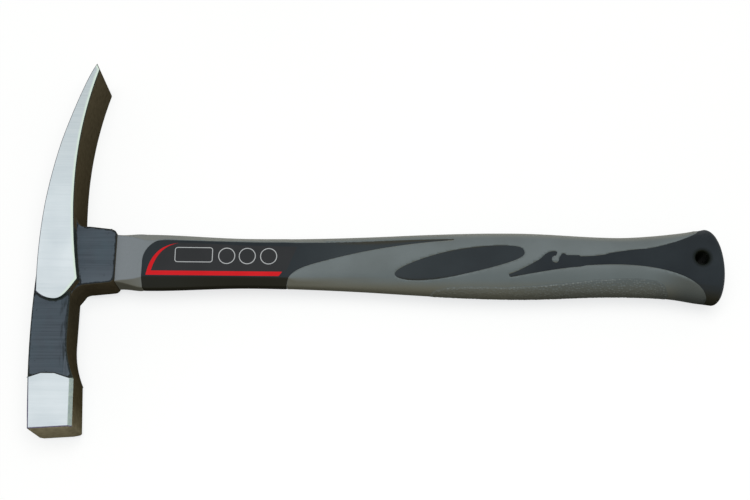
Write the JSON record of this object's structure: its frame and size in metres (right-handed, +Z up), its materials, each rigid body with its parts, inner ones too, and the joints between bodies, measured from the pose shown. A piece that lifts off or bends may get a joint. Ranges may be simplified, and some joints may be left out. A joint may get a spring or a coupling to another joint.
{
  "type": "brick hammer",
  "caption": "Brick hammer with a forged head, a curved chisel blade and a square poll, on a moulded two-colour handle with a fibreglass core and a hang hole.",
  "frame": {"origin": "middle of the footprint, on the surface the hammer lies on when it rests on its side", "axes": "+X along the handle from the head to the butt, +Y up the blade away from the striking face, +Z up through the thickness"},
  "size_m": [0.3297, 0.1832, 0.033],
  "materials": {
    "head_steel": "blade, cheeks and poll ground and polished, body and socket painted slate grey",
    "eye_resin": "cast epoxy",
    "fibreglass": "pultruded glass fibre in resin",
    "grey_jacket": "moulded with a fine matt grain, pebbled on the lower side of the grip",
    "black_rubber": "soft overmoulding, satin",
    "label_film": "charcoal film with a red stripe and plain pale outlines"
  },
  "bodies": {
    "root": {"head": "head_steel", "eye_resin": "eye_resin", "fibreglass_core": "fibreglass", "handle_jacket": "grey_jacket", "neck_overmould": "black_rubber", "upper_label": "label_film", "lower_label": "label_film", "upper_thumb_inlay": "black_rubber", "lower_thumb_inlay": "black_rubber", "butt_overmould": "black_rubber"}
  },
  "joints": []
}
